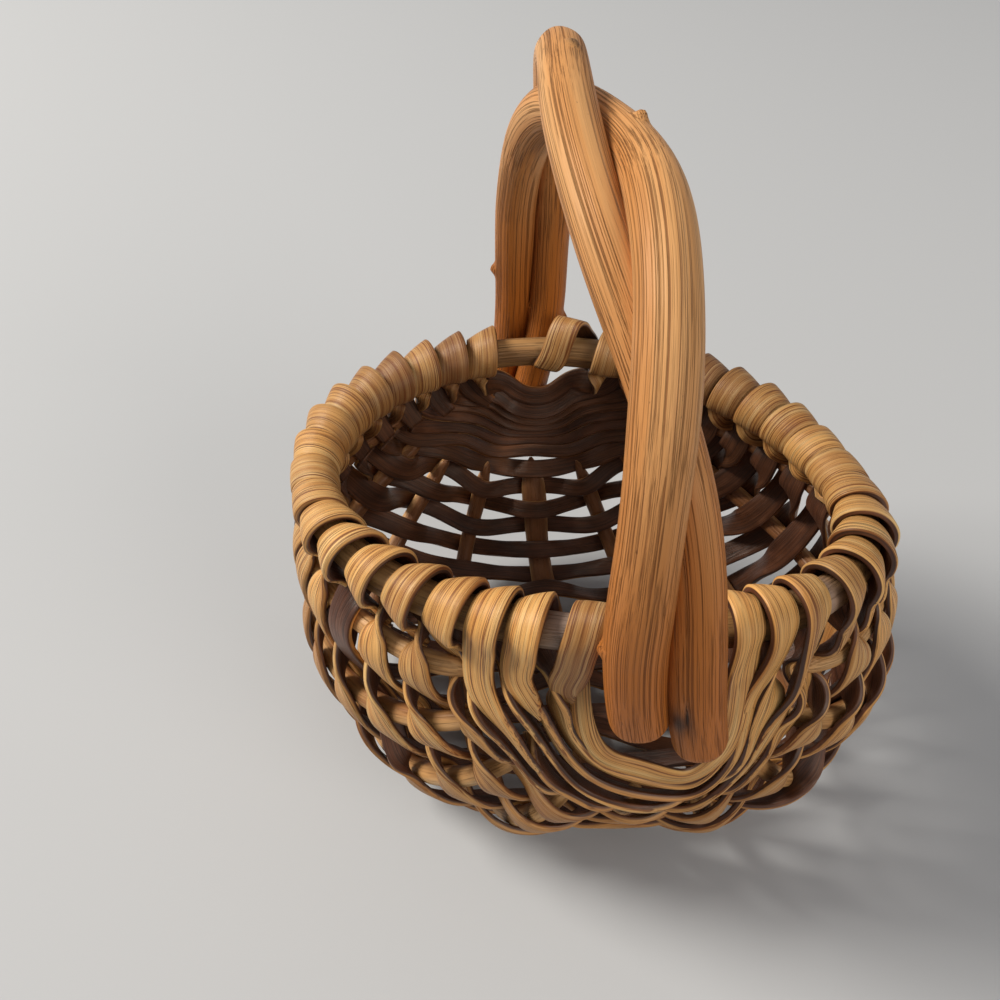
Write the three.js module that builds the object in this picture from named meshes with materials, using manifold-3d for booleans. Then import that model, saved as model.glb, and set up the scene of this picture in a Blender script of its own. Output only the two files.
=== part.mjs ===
// A small hand-woven basket of split vine with a twisted handle.
// Units are millimetres, +Z is up, -Y is the front, and +X is the right.
// Two peeled stems twist round each other and stand outside the rim hoop at the front and the back.
// Round ribs run under the rim from the front ear to the back ear, and split weavers cross them.
import * as THREE from 'three';
import { mergeVertices } from 'three/addons/utils/BufferGeometryUtils.js';
import Module from 'manifold-3d';

const wasm = await Module();
wasm.setup();

// Rim hoop: a round stem bent into an oval that leans a little to one corner.
const rimHalfWidth = 39.9;
const rimHalfLength = 34.2;
const rimSkew = 6.0;          // the right side sits this far forward, and the left side this far back
const hoopDiameter = 5.0;
const rimFrontHeight = 62.2;
const rimBackHeight = 56.2;
const rimRightDrop = 4.4;     // the sides of the rim dip below the line from ear to ear
const rimLeftDrop = 2.3;

// Woven body below the rim.
const bottomHeight = 2.2;     // the wall's middle surface above the table, at the lowest
const keelRaise = 3.0;        // the middle rib is drawn up, which gives the two faint lobes
const keelGrooveWidth = 12;
const rightBulge = 21.7;      // strength of the swelling past the rim at the right
const leftBulge = 9.6;
const rightBulgeLevel = 0.47; // share of the depth where that swelling is widest
const leftBulgeLevel = 0.53;
const sideBulgeSpread = 0.77;
const earBulge = 5.7;         // the wall swells lower down at the ears, under the feet of the handle
const earBulgeLevel = 0.53;
const earBulgeSpread = 0.16;
const earHalfWidth = 6.5;
const bottomFullness = 6.0;   // 2 is a round bottom, and more is flatter
const swellingFade = 3;       // the swelling dies away where the bottom has closed to a third

// Ribs.
const ribDiameter = 3.2;
const ribTipDiameter = 1.6;
const ribsPerSide = 4;
const firstRibDrop = 11;      // from the rim hoop down to the first rib, along the wall
const firstRibShare = 0.60;   // near the ears the first rib takes this share of the wall instead
const ribStart = 0.13;        // share of the way from ear to ear where the ribs begin
const ribTaperEnd = 0.24;
const ribReach = 0.03;        // a row this far beyond the end of a rib still passes it

// Weavers: split strips, each making two rows with a turn over the rim at both ends.
const weaverCount = 17;
const weaverWidth = 4.0;
const weaverThickness = 1.0;
const turnWidth = 4.8;        // the strip spreads where it lies over the rim
const clearance = 0.38;       // between a strip and the rod that it passes
const turnClearance = 0.53;   // between a strip and the hoop, so that the flat steps of the turn clear it
const rowGap = 0.45;          // between two rows side by side
const frontRowStart = 0.128;  // share of the keel line where the first row crosses it, below the front feet
const backRowStart = 0.07;    // and the last row, measured from the back ear
const rimRowStart = 0.10;     // share of the rim where the first row reaches it, beside the handle
const rowCrowding = 0.33;     // rows lie closer near the ears than in the middle
const pullAtEars = 0.012;     // beside the keel the rows hang this much closer to the ears
const pullBetween = 0.030;
const pullPlace = 0.43;       // where that pull is strongest, as a share of the way from the keel to the rim
const pullSpread = 0.25;
const footShift = 0.15;       // the front rows hang lowest under the right foot
const footShiftRows = 0.25;   // share of the rows that do so
const steepestSlant = 0.83;   // sine of the steepest slant of a strip between two ribs
const rimBlend = 1.5;         // how late a row turns from its place at the keel to its place at the rim
const turnFullness = 0.7;     // how quickly a strip spreads to its full width on the rim
const overRim = [0, 40, 80, 120, 160, 200, 240];     // degrees round the hoop, from outward through up
const backOverRim = [240, 200, 160, 120, 80, 40, 5];
const restDepth = 0.8;        // the bands that touch the table are worn flat by this much

// Ear ties: two short splints hooked over the hoop beside the feet of the handle.
const tieWidth = 4.8;
const tieTipWidth = 2.4;
const tieTurn = [210, 180, 150, 120, 90, 60, 30, 0]; // degrees round the hoop, from inside to outside
const tieTailSteps = [1 / 2, 1];
const frontTieAlong = 0.061;  // share of the left rim line, from the front ear
const frontTieLean = 0.022;   // the tail ends this much further along
const frontTieTail = 8.5;     // length below the middle of the hoop
const backTieAlong = 0.936;   // share of the right rim line
const backTieLean = -0.012;
const backTieTail = 5;
const backTieLoop = 2.6;      // the back tie stands this far off the top of the hoop

// Handle: two stems, one full twist from the front foot to the back foot.
const stemADiameter = 7.6;
const stemBDiameter = 7.3;
const stemTaper = 0.16;       // the stems thin towards the back by this share
const handleTopHeight = 109.6;
const handleTopY = 8;
const handleFrontY = -41.4;
const handleBackY = 42.6;
const frontFootHeight = 48.6;
const backFootHeight = 41.0;
const footStep = 4.0;         // the left stem ends this much higher than the right one at the front
const frontFullness = 2.5;
const backFullness = 3.1;
const footSway = 3.0;         // the front feet lean right and the back feet lean left
const footSwayHeight = 24;
const twistStart = 0.11;
const twistEnd = 0.78;
const twistEase = 0.3;
const footTwist = -22;        // degrees by which the front feet are turned from side by side
const stemGap = 0.3;

// Mesh fineness.
const stemSides = 10;
const stemRings = 44;
const ribSides = 6;
const ribRings = 27;
const hoopSides = 8;
const hoopRings = 56;
const netAlong = 120;         // cells of the net over the wall, from ear to ear
const netAcross = 48;         // and from rim to rim
const alongStep = 0.015;      // half the distance over which the wall's directions are taken
const acrossStep = 0.03;
const girthSteps = 60;
const halvings = 40;          // steps of the search for the wall along a ray
const crossingSteps = 4;      // rounds that settle where a row crosses a rib
const steepLimit = 0.95;      // a rod that starts steeper than this takes its sides from the y axis
const handleDivisions = 400;
const sliver = 1e-9;

const tan = 0xb98148;
const paleTan = 0xc99558;
const darkBark = 0x5d3a24;
const peeledRoughness = 0.55;
const splitRoughness = 0.6;
const bareRoughness = 0.7;

const mix = (a, b, t) => a + (b - a) * t;
const clamp01 = (t) => Math.min(1, Math.max(0, t));
const smooth = (t) => { const s = clamp01(t); return s * s * (3 - 2 * s); };
const hump = (t, middle, spread) => Math.exp(-(((t - middle) / spread) ** 2));

// The body is described in ear coordinates.
// They are x to the right, y along the line from ear to ear, and depth below that line.
const earLineHeight = (y) => mix(rimFrontHeight, rimBackHeight, 0.5 + y / (2 * rimHalfLength));
const toWorld = (x, y, depth) => (
  new THREE.Vector3(x, y - (rimSkew * x) / rimHalfWidth, earLineHeight(y) - depth));
const rimDrop = (cosine) => mix(rimLeftDrop, rimRightDrop, 0.5 + cosine / 2) * cosine ** 2;

// Positive outside the wall's middle surface and negative inside it.
function wallField(x, y, depth) {
  const reach = Math.hypot(x / rimHalfWidth, y / rimHalfLength);
  const cosine = reach > 0 ? x / rimHalfWidth / reach : 0;
  const drop = rimDrop(cosine);
  const fullDepth = earLineHeight(y) - bottomHeight - drop;
  const plain = (depth - drop) / fullDepth;
  const level = plain + (keelRaise / fullDepth) * hump(x, 0, keelGrooveWidth) * smooth(plain);
  const closing = Math.max(0, 1 - Math.max(0, level) ** bottomFullness) ** (1 / bottomFullness);
  const ear = hump(x, 0, earHalfWidth);
  const rightness = 0.5 + cosine / 2;
  const sideBulge = mix(leftBulge, rightBulge, rightness);
  const widest = mix(leftBulgeLevel, rightBulgeLevel, rightness);
  const swell = hump(level, widest, sideBulgeSpread) - hump(0, widest, sideBulgeSpread);
  const side = (sideBulge / rimHalfWidth) * swell;
  const low = (earBulge / rimHalfLength) * hump(level, earBulgeLevel, earBulgeSpread);
  const swelling = level > 0 ? mix(side, low, ear) * clamp01(closing * swellingFade) : 0;
  return reach - closing - swelling;
}

// Where a ray from the middle of the ear line meets the wall.
function wallPoint(tilt, turn) {
  const direction = [Math.sin(turn) * Math.cos(tilt), -Math.cos(turn), Math.sin(turn) * Math.sin(tilt)];
  let inside = 0;
  let outside = 2 * rimHalfWidth;
  for (let step = 0; step < halvings; step++) {
    const middle = (inside + outside) / 2;
    const [x, y, depth] = direction.map((part) => part * middle);
    if (wallField(x, y, depth) > 0) outside = middle;
    else inside = middle;
  }
  return new THREE.Vector3(...direction.map((part) => part * inside));
}

const rimPoint = (turn, side) => {
  const cosine = side * Math.sin(turn);
  return toWorld(rimHalfWidth * cosine, -rimHalfLength * Math.cos(turn), rimDrop(cosine));
};

// A line from the front ear to the back ear, at one tilt round the ear line.
class EarToEarLine extends THREE.Curve {
  constructor(pointAtTurn) {
    super();
    this.pointAtTurn = pointAtTurn;
  }
  getPoint(t) {
    return this.pointAtTurn(Math.PI * clamp01(t));
  }
}

const tiltedLine = (tilt) => new EarToEarLine((turn) => {
  const p = wallPoint(tilt, turn);
  return toWorld(p.x, p.y, p.z);
});
const rimLines = {
  1: new EarToEarLine((turn) => rimPoint(turn, 1)),
  '-1': new EarToEarLine((turn) => rimPoint(turn, -1)),
};

// Half of the wall's middle section, from the rim to the keel.
class HalfSection extends THREE.Curve {
  constructor(side) {
    super();
    this.side = side;
    this.rimTilt = Math.atan2(side > 0 ? rimRightDrop : rimLeftDrop, rimHalfWidth);
  }
  getPoint(t) {
    const tilt = mix(this.rimTilt, Math.PI / 2, t);
    return wallPoint(this.side > 0 ? tilt : Math.PI - tilt, Math.PI / 2);
  }
}

// The wall as a net of points.
// across runs from -1 at the left rim through 0 at the keel to 1 at the right rim.
const wallNet = Array.from({ length: netAcross + 1 }, (_, column) => {
  const across = (2 * column) / netAcross - 1;
  const side = across < 0 ? -1 : 1;
  if (column % netAcross === 0) return rimLines[side].getSpacedPoints(netAlong);
  const p = new HalfSection(side).getPointAt(1 - Math.abs(across));
  return tiltedLine(Math.atan2(p.z, p.x)).getSpacedPoints(netAlong);
});

function bodyPoint(along, across) {
  const column = clamp01((across + 1) / 2) * netAcross;
  const row = clamp01(along) * netAlong;
  const c = Math.min(netAcross - 1, Math.floor(column));
  const r = Math.min(netAlong - 1, Math.floor(row));
  const left = wallNet[c][r].clone().lerp(wallNet[c][r + 1], row - r);
  const right = wallNet[c + 1][r].clone().lerp(wallNet[c + 1][r + 1], row - r);
  return left.lerp(right, column - c);
}

const tangentAlong = (along, across) => (
  bodyPoint(along + alongStep, across).sub(bodyPoint(along - alongStep, across)).normalize());

const tangentAcross = (along, across) => (
  bodyPoint(along, across + acrossStep).sub(bodyPoint(along, across - acrossStep)).normalize());

// Outward normal of the wall.
const wallNormal = (along, across) => (
  tangentAlong(along, across).cross(tangentAcross(along, across)).normalize());

const tableHeight = bottomHeight - ribDiameter / 2 - clearance - weaverThickness + restDepth;

function toSolid(geometry) {
  return new wasm.Manifold(new wasm.Mesh({
    numProp: 3,
    vertProperties: geometry.attributes.position.array,
    triVerts: new Uint32Array(geometry.index.array),
  }));
}

// Everything below the table, as one block.
const tableSize = 4 * rimHalfWidth;
const tableBlock = new THREE.BoxGeometry(tableSize, tableSize, tableSize);
tableBlock.translate(0, 0, tableHeight - tableSize / 2);
tableBlock.deleteAttribute('normal');
tableBlock.deleteAttribute('uv');
const table = toSolid(mergeVertices(tableBlock));

// The worn flat on a piece that reaches the table.
function wornFlat(geometry) {
  geometry.computeBoundingBox();
  if (geometry.boundingBox.min.z >= tableHeight) return geometry;
  const { vertProperties, triVerts } = toSolid(geometry).subtract(table).getMesh();
  const worn = new THREE.BufferGeometry();
  worn.setAttribute('position', new THREE.Float32BufferAttribute(vertProperties, 3));
  worn.setIndex(new THREE.Uint32BufferAttribute(triVerts, 1));
  return worn;
}

// A closed band or rod: one ring of corners at each station, joined by quads and closed at both ends.
function skin(rings, closedLoop = false) {
  const sides = rings[0].length;
  const positions = rings.flat().flatMap((p) => [p.x, p.y, p.z]);
  const indices = [];
  const last = closedLoop ? rings.length : rings.length - 1;
  for (let ring = 0; ring < last; ring++) {
    const next = (ring + 1) % rings.length;
    for (let side = 0; side < sides; side++) {
      const a = ring * sides + side;
      const b = ring * sides + ((side + 1) % sides);
      const c = next * sides + side;
      const d = next * sides + ((side + 1) % sides);
      indices.push(a, b, d, a, d, c);
    }
  }
  if (!closedLoop) {
    const end = (rings.length - 1) * sides;
    for (let side = 1; side < sides - 1; side++) {
      indices.push(0, side + 1, side);
      indices.push(end, end + side, end + side + 1);
    }
  }
  const plain = new THREE.BufferGeometry();
  plain.setAttribute('position', new THREE.Float32BufferAttribute(positions, 3));
  plain.setIndex(indices);
  const geometry = wornFlat(plain);
  geometry.computeVertexNormals();
  return geometry;
}

const basket = new THREE.Group();

function addPiece(name, geometry, color, roughness) {
  const piece = new THREE.Mesh(geometry, new THREE.MeshStandardMaterial({ color, roughness, metalness: 0 }));
  piece.name = name;
  basket.add(piece);
  return piece;
}

// Round rod along a list of centres, with a radius for each.
function rod(centres, radii, sides, closedLoop = false) {
  const count = centres.length;
  const rings = centres.map((centre, index) => {
    const before = centres[closedLoop ? (index + count - 1) % count : Math.max(0, index - 1)];
    const after = centres[closedLoop ? (index + 1) % count : Math.min(count - 1, index + 1)];
    const forward = after.clone().sub(before).normalize();
    const steep = Math.abs(forward.z) >= steepLimit;
    const guide = steep ? new THREE.Vector3(0, 1, 0) : new THREE.Vector3(0, 0, 1);
    return { centre, forward, guide, radius: radii[index] };
  });
  let sideways = rings[0].guide.clone().cross(rings[0].forward).normalize();
  const corners = rings.map(({ centre, forward, radius }) => {
    sideways = sideways.clone().sub(forward.clone().multiplyScalar(sideways.dot(forward))).normalize();
    const upward = forward.clone().cross(sideways);
    return Array.from({ length: sides }, (_, side) => {
      const angle = (2 * Math.PI * side) / sides;
      return centre.clone()
        .addScaledVector(sideways, radius * Math.cos(angle))
        .addScaledVector(upward, radius * Math.sin(angle));
    });
  });
  return skin(corners, closedLoop);
}

// Flat strip through stations {point, across, width}.
// across is the direction of the strip's width.
function strip(stations) {
  const count = stations.length;
  const corners = stations.map((station, index) => {
    const before = stations[Math.max(0, index - 1)].point;
    const after = stations[Math.min(count - 1, index + 1)].point;
    const forward = after.clone().sub(before).normalize();
    const face = forward.clone().cross(station.across).normalize();
    const across = face.clone().cross(forward);
    const half = station.width / 2;
    const deep = weaverThickness / 2;
    return [[-half, -deep], [half, -deep], [half, deep], [-half, deep]].map(([sideways, outward]) => (
      station.point.clone().addScaledVector(across, sideways).addScaledVector(face, outward)));
  });
  return skin(corners);
}

// Rim hoop.
const hoopCentres = Array.from({ length: hoopRings }, (_, index) => {
  const turn = (2 * Math.PI * index) / hoopRings;
  return rimPoint(turn, 1);
});
const hoopRadii = hoopCentres.map(() => hoopDiameter / 2);
addPiece('rim_hoop', rod(hoopCentres, hoopRadii, hoopSides, true), paleTan, bareRoughness);

// Ribs, numbered down each side from the rim, with the keel last.
function girthAt(along, side) {
  const lengths = [0];
  let before = bodyPoint(along, side);
  for (let step = 1; step <= girthSteps; step++) {
    const here = bodyPoint(along, side * (1 - step / girthSteps));
    lengths.push(lengths[step - 1] + here.distanceTo(before));
    before = here;
  }
  return lengths;
}

function ribAcross(along, side, number) {
  const lengths = girthAt(along, side);
  const girth = lengths[girthSteps];
  const first = Math.min(firstRibDrop, firstRibShare * girth);
  const drop = mix(first, girth, (number - 1) / ribsPerSide);
  const step = Math.max(1, lengths.findIndex((length) => length >= drop - sliver));
  const part = (drop - lengths[step - 1]) / (lengths[step] - lengths[step - 1]);
  return side * (1 - (step - 1 + part) / girthSteps);
}

const ribRadius = (along) => {
  const nearEnd = Math.min(along, 1 - along);
  return mix(ribTipDiameter, ribDiameter, smooth((nearEnd - ribStart) / (ribTaperEnd - ribStart))) / 2;
};
function ribPiece(side, number) {
  const step = (1 - 2 * ribStart) / (ribRings - 1);
  const shares = Array.from({ length: ribRings }, (_, index) => ribStart + index * step);
  const centres = shares.map((share) => bodyPoint(share, ribAcross(share, side, number)));
  return rod(centres, shares.map(ribRadius), ribSides);
}
addPiece('keel_rib', ribPiece(1, ribsPerSide + 1), tan, bareRoughness);
for (let number = 1; number <= ribsPerSide; number++) {
  addPiece(`rib_right_${number}`, ribPiece(1, number), tan, bareRoughness);
  addPiece(`rib_left_${number}`, ribPiece(-1, number), tan, bareRoughness);
}

// Weaver rows.
const rowCount = 2 * weaverCount;
const rowAlong = (row, across) => {
  const even = row / (rowCount - 1);
  const shifted = across - footShift * (1 - Math.abs(across)) * smooth(1 - even / footShiftRows);
  const nearRim = Math.abs(shifted) ** rimBlend;
  const front = mix(frontRowStart, rimRowStart, nearRim);
  const back = mix(backRowStart, rimRowStart, nearRim);
  const crowded = even - ((1 - nearRim) * rowCrowding * Math.sin(2 * Math.PI * even)) / (2 * Math.PI);
  const pull = pullAtEars * Math.cos(Math.PI * even) + pullBetween * Math.sin(2 * Math.PI * even);
  return mix(front, 1 - back, crowded) - pull * hump(Math.abs(shifted), pullPlace, pullSpread);
};
const rowWidth = (row, across) => {
  const here = bodyPoint(rowAlong(row, across), across);
  const nearest = Math.min(
    here.distanceTo(bodyPoint(rowAlong(row - 1, across), across)),
    here.distanceTo(bodyPoint(rowAlong(row + 1, across), across)),
  );
  return Math.min(weaverWidth, nearest - rowGap);
};
const hasRib = (along) => along > ribStart - ribReach && along < 1 - ribStart + ribReach;

// Where a row crosses a rib.
function crossing(row, side, number) {
  let across = (side * (ribsPerSide + 1 - number)) / (ribsPerSide + 1);
  for (let step = 0; step < crossingSteps; step++) across = ribAcross(rowAlong(row, across), side, number);
  return across;
}

// How far a strip stands off a rib.
// It also clears the rib where it slants down to the wall on both sides.
function standOff(along, halfGap) {
  const straight = ribRadius(along) + clearance + weaverThickness / 2;
  return straight / Math.sqrt(1 - Math.min(steepestSlant, straight / halfGap) ** 2);
}

// One row from the left to the right. Even rows pass inside the first rib, and odd rows outside it.
function rowStations(row) {
  const left = Array.from({ length: ribsPerSide }, (_, index) => crossing(row, -1, index + 1));
  const right = Array.from({ length: ribsPerSide }, (_, index) => crossing(row, 1, ribsPerSide - index));
  const crossings = [-1, ...left, 0, ...right, 1];
  const wallAt = (across) => bodyPoint(rowAlong(row, across), across);
  const stations = [];
  for (let rib = 0; rib + 1 < crossings.length; rib++) {
    const across = crossings[rib];
    const between = (across + crossings[rib + 1]) / 2;
    if (rib > 0) {
      const along = rowAlong(row, across);
      const nextRibs = [crossings[rib - 1], crossings[rib + 1]];
      const gaps = nextRibs.map((next) => wallAt(next).distanceTo(wallAt(across)));
      const outside = (rib + row) % 2 === 0 ? 1 : -1;
      const offset = hasRib(along) ? outside * standOff(along, Math.min(...gaps) / 2) : 0;
      stations.push({ across, offset });
    }
    stations.push({ across: between, offset: 0 });
  }
  return stations.map(({ across, offset }) => {
    const along = rowAlong(row, across);
    return {
      point: wallAt(across).addScaledVector(wallNormal(along, across), offset),
      across: tangentAlong(along, across),
      width: rowWidth(row, across),
    };
  });
}

// The turn over the rim: angles are measured from outward through up to inward, in degrees.
const turnRadius = hoopDiameter / 2 + turnClearance + weaverThickness / 2;
function rimTurn(side, fromAlong, toAlong, angles, endWidth) {
  return angles.map((degrees, index) => {
    const share = index / (angles.length - 1);
    const along = mix(fromAlong, toAlong, share);
    const line = rimLines[side];
    const centre = line.getPointAt(along);
    const tangent = line.getTangentAt(along);
    const outward = new THREE.Vector3(side * tangent.y, -side * tangent.x, 0).normalize();
    const angle = THREE.MathUtils.degToRad(degrees);
    const spread = Math.sin(Math.PI * clamp01(share)) ** turnFullness;
    return {
      point: centre.clone()
        .addScaledVector(outward, turnRadius * Math.cos(angle))
        .addScaledVector(new THREE.Vector3(0, 0, 1), turnRadius * Math.sin(angle)),
      across: tangent,
      width: mix(endWidth, turnWidth, spread),
    };
  });
}

for (let weaver = 0; weaver < weaverCount; weaver++) {
  const firstRow = 2 * weaver;
  const secondRow = firstRow + 1;
  const rimAt = (row) => rowAlong(row, 1);
  const rimWidth = rowWidth(firstRow, 1);
  const stations = [
    ...rowStations(firstRow).slice(1),
    ...rimTurn(1, rimAt(firstRow), rimAt(secondRow), overRim, rimWidth),
    ...rowStations(secondRow).reverse(),
    ...rimTurn(-1, rimAt(secondRow), rimAt(secondRow + 1), backOverRim, rimWidth),
  ];
  const name = `weaver_${String(weaver + 1).padStart(2, '0')}`;
  addPiece(name, strip(stations), weaver % 2 ? darkBark : tan, splitRoughness);
}

// Ear ties, from the inside of the hoop over its top and down the outside.
function earTie(side, along, lean, tailLength, loop) {
  const line = rimLines[side];
  const frameAt = (share) => {
    const centre = line.getPointAt(along + lean * share);
    const tangent = line.getTangentAt(along + lean * share);
    const outward = new THREE.Vector3(side * tangent.y, -side * tangent.x, 0).normalize();
    return { centre, tangent, outward };
  };
  const over = tieTurn.map((degrees, index) => {
    const { centre, tangent, outward } = frameAt(index / (tieTurn.length - 1) / 2);
    const angle = THREE.MathUtils.degToRad(degrees);
    const rise = turnRadius + loop * clamp01(Math.sin(angle));
    const point = centre.addScaledVector(outward, turnRadius * Math.cos(angle));
    point.z += rise * Math.sin(angle);
    return { point, across: tangent, width: tieWidth };
  });
  const tail = tieTailSteps.map((part) => {
    const { centre, tangent, outward } = frameAt(0.5 + part / 2);
    const point = centre.addScaledVector(outward, turnRadius);
    point.z -= part * tailLength;
    return { point, across: tangent, width: mix(tieWidth, tieTipWidth, part) };
  });
  return strip([...over, ...tail]);
}
const frontTie = earTie(-1, frontTieAlong, frontTieLean, frontTieTail, 0);
const backTie = earTie(1, backTieAlong, backTieLean, backTieTail, backTieLoop);
addPiece('front_ear_tie', frontTie, tan, splitRoughness);
addPiece('back_ear_tie', backTie, tan, splitRoughness);

// Handle stems.
const handlePoint = (angle) => {
  const back = Math.cos(angle) < 0;
  const fullness = back ? backFullness : frontFullness;
  const reach = Math.abs(Math.cos(angle)) ** (2 / fullness);
  const rise = Math.sin(angle) ** (2 / fullness);
  const footHeight = back ? backFootHeight : frontFootHeight;
  const height = mix(footHeight, handleTopHeight, rise);
  const y = mix(handleTopY, back ? handleBackY : handleFrontY, reach);
  const lowness = clamp01(1 - (height - footHeight) / footSwayHeight) ** 2;
  return new THREE.Vector3((back ? -1 : 1) * footSway * lowness, y, height);
};
class HandleLine extends THREE.Curve {
  constructor() {
    super();
    this.arcLengthDivisions = handleDivisions;
  }
  getPoint(t) {
    return handlePoint(Math.PI * clamp01(t));
  }
}
const handleLine = new HandleLine();
const stemThinning = (share) => 1 - stemTaper * share;
const twistAt = (share) => {
  const turn = clamp01((share - twistStart) / (twistEnd - twistStart));
  const eased = mix(turn, smooth(turn), twistEase);
  const foot = footTwist * clamp01(1 - share / twistStart);
  return THREE.MathUtils.degToRad(360 * eased + foot);
};
function stemCentres(sign, ownDiameter, otherDiameter, start) {
  return Array.from({ length: stemRings + 1 }, (_, index) => {
    const share = mix(start, 1, index / stemRings);
    const centre = handleLine.getPointAt(share);
    const forward = handleLine.getTangentAt(share);
    const rightward = new THREE.Vector3(1, 0, 0);
    const outward = rightward.clone().cross(forward).normalize();
    const spacing = ((ownDiameter + otherDiameter) / 2) * stemThinning(share) + stemGap;
    const lever = (spacing * otherDiameter) / (ownDiameter + otherDiameter);
    const twist = twistAt(share);
    return centre
      .addScaledVector(rightward, -sign * lever * Math.cos(twist))
      .addScaledVector(outward, sign * lever * Math.sin(twist));
  });
}
const stemRadii = (diameter) => Array.from({ length: stemRings + 1 },
  (_, index) => (diameter / 2) * stemThinning(index / stemRings));
const stepShare = footStep / handleLine.getLength();
const leftCentres = stemCentres(1, stemADiameter, stemBDiameter, stepShare);
const rightCentres = stemCentres(-1, stemBDiameter, stemADiameter, 0);
const leftStem = rod(leftCentres, stemRadii(stemADiameter), stemSides);
const rightStem = rod(rightCentres, stemRadii(stemBDiameter), stemSides);
addPiece('handle_stem_left', leftStem, paleTan, peeledRoughness);
addPiece('handle_stem_right', rightStem, paleTan, peeledRoughness);

// The origin goes to the middle of the footprint, on the table.
basket.updateMatrixWorld(true);
const extent = new THREE.Box3().setFromObject(basket, true);
const middle = extent.getCenter(new THREE.Vector3());
basket.position.set(-middle.x, -middle.y, -extent.min.z);

export default basket;
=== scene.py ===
# %% [markdown]
# # A small ribbed basket with a twisted handle
# The basket is woven from split vine over round ribs, under a hoop, and two peeled stems
# twist round each other to make the handle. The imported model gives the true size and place
# of every piece as plain bands and rods. This lesson dresses each of them: it bends real
# ribbons and stems along the same courses and gives them wood, bark and wear.

import bpy
import numpy as np
from mathutils import Matrix, Vector


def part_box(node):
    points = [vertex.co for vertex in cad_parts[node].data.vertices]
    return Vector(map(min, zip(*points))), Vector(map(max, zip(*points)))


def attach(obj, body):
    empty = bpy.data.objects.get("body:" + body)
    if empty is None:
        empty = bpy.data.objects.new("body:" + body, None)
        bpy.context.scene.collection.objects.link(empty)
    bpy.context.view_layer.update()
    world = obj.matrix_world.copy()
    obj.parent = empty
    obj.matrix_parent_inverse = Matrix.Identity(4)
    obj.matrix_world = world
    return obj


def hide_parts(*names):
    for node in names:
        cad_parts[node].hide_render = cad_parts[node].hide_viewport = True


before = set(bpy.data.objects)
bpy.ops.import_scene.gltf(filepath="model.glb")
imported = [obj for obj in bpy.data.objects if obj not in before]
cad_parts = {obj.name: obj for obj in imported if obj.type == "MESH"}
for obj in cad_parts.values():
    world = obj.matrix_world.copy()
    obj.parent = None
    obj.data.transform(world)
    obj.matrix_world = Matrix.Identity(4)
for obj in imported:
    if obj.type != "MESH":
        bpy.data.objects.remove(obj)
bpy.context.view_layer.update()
mm = 0.001
print("nodes in the frame:", len(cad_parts))

# %% [markdown]
# ## The body's shape as formulas
# On the real basket the hoop and the ribs decide the form of the wall, and everything else
# follows it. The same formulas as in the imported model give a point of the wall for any
# share of the way from the front ear to the back ear, and for any share of the girth. They
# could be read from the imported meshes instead, but a formula gives smooth normals and
# tangents at every point, which ribbons need.

# %% Small helpers for shares and bumps
def mix(a, b, share):
    return a + (b - a) * share


def clamp01(share):
    return np.clip(share, 0.0, 1.0)


def smooth(share):
    share = clamp01(share)
    return share * share * (3 - 2 * share)


def hump(place, middle, spread):
    return np.exp(-(((place - middle) / spread) ** 2))


def unit(vectors):
    return vectors / np.linalg.norm(vectors, axis=-1, keepdims=True)


# %% The rim hoop's oval
RIM_HALF_WIDTH = 39.9 * mm
RIM_HALF_LENGTH = 34.2 * mm
RIM_SKEW = 6.0 * mm
HOOP_RADIUS = 2.5 * mm
RIM_FRONT_HEIGHT = 62.2 * mm
RIM_BACK_HEIGHT = 56.2 * mm
RIM_RIGHT_DROP = 4.4 * mm
RIM_LEFT_DROP = 2.3 * mm


def ear_line_height(y):
    return mix(RIM_FRONT_HEIGHT, RIM_BACK_HEIGHT, 0.5 + y / (2 * RIM_HALF_LENGTH))


def from_ear_line(x, y, depth):
    return np.stack([x, y - RIM_SKEW * x / RIM_HALF_WIDTH, ear_line_height(y) - depth], axis=-1)


def rim_drop(cosine):
    return mix(RIM_LEFT_DROP, RIM_RIGHT_DROP, 0.5 + cosine / 2) * cosine**2


def rim_point(turn, side=1):
    cosine = side * np.sin(turn)
    return from_ear_line(RIM_HALF_WIDTH * cosine, -RIM_HALF_LENGTH * np.cos(turn), rim_drop(cosine))


hoop_line = rim_point(np.linspace(0, 2 * np.pi, 721)[:-1])
hoop_box = np.array(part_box("rim_hoop"))
to_frame = hoop_box.mean(axis=0) - (hoop_line.min(axis=0) + hoop_line.max(axis=0)) / 2
print("from the basket's own middle to the frame, in mm:", np.round(to_frame / mm, 3))

# %% The woven wall
BOTTOM_HEIGHT = 2.2 * mm
KEEL_RAISE = 3.0 * mm
KEEL_GROOVE = 12 * mm
RIGHT_BULGE = 21.7 * mm
LEFT_BULGE = 9.6 * mm
RIGHT_BULGE_LEVEL = 0.47
LEFT_BULGE_LEVEL = 0.53
SIDE_BULGE_SPREAD = 0.77
EAR_BULGE = 5.7 * mm
EAR_BULGE_LEVEL = 0.53
EAR_BULGE_SPREAD = 0.16
EAR_HALF_WIDTH = 6.5 * mm
BOTTOM_FULLNESS = 6.0
SWELLING_FADE = 3
HALVINGS = 40


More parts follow.
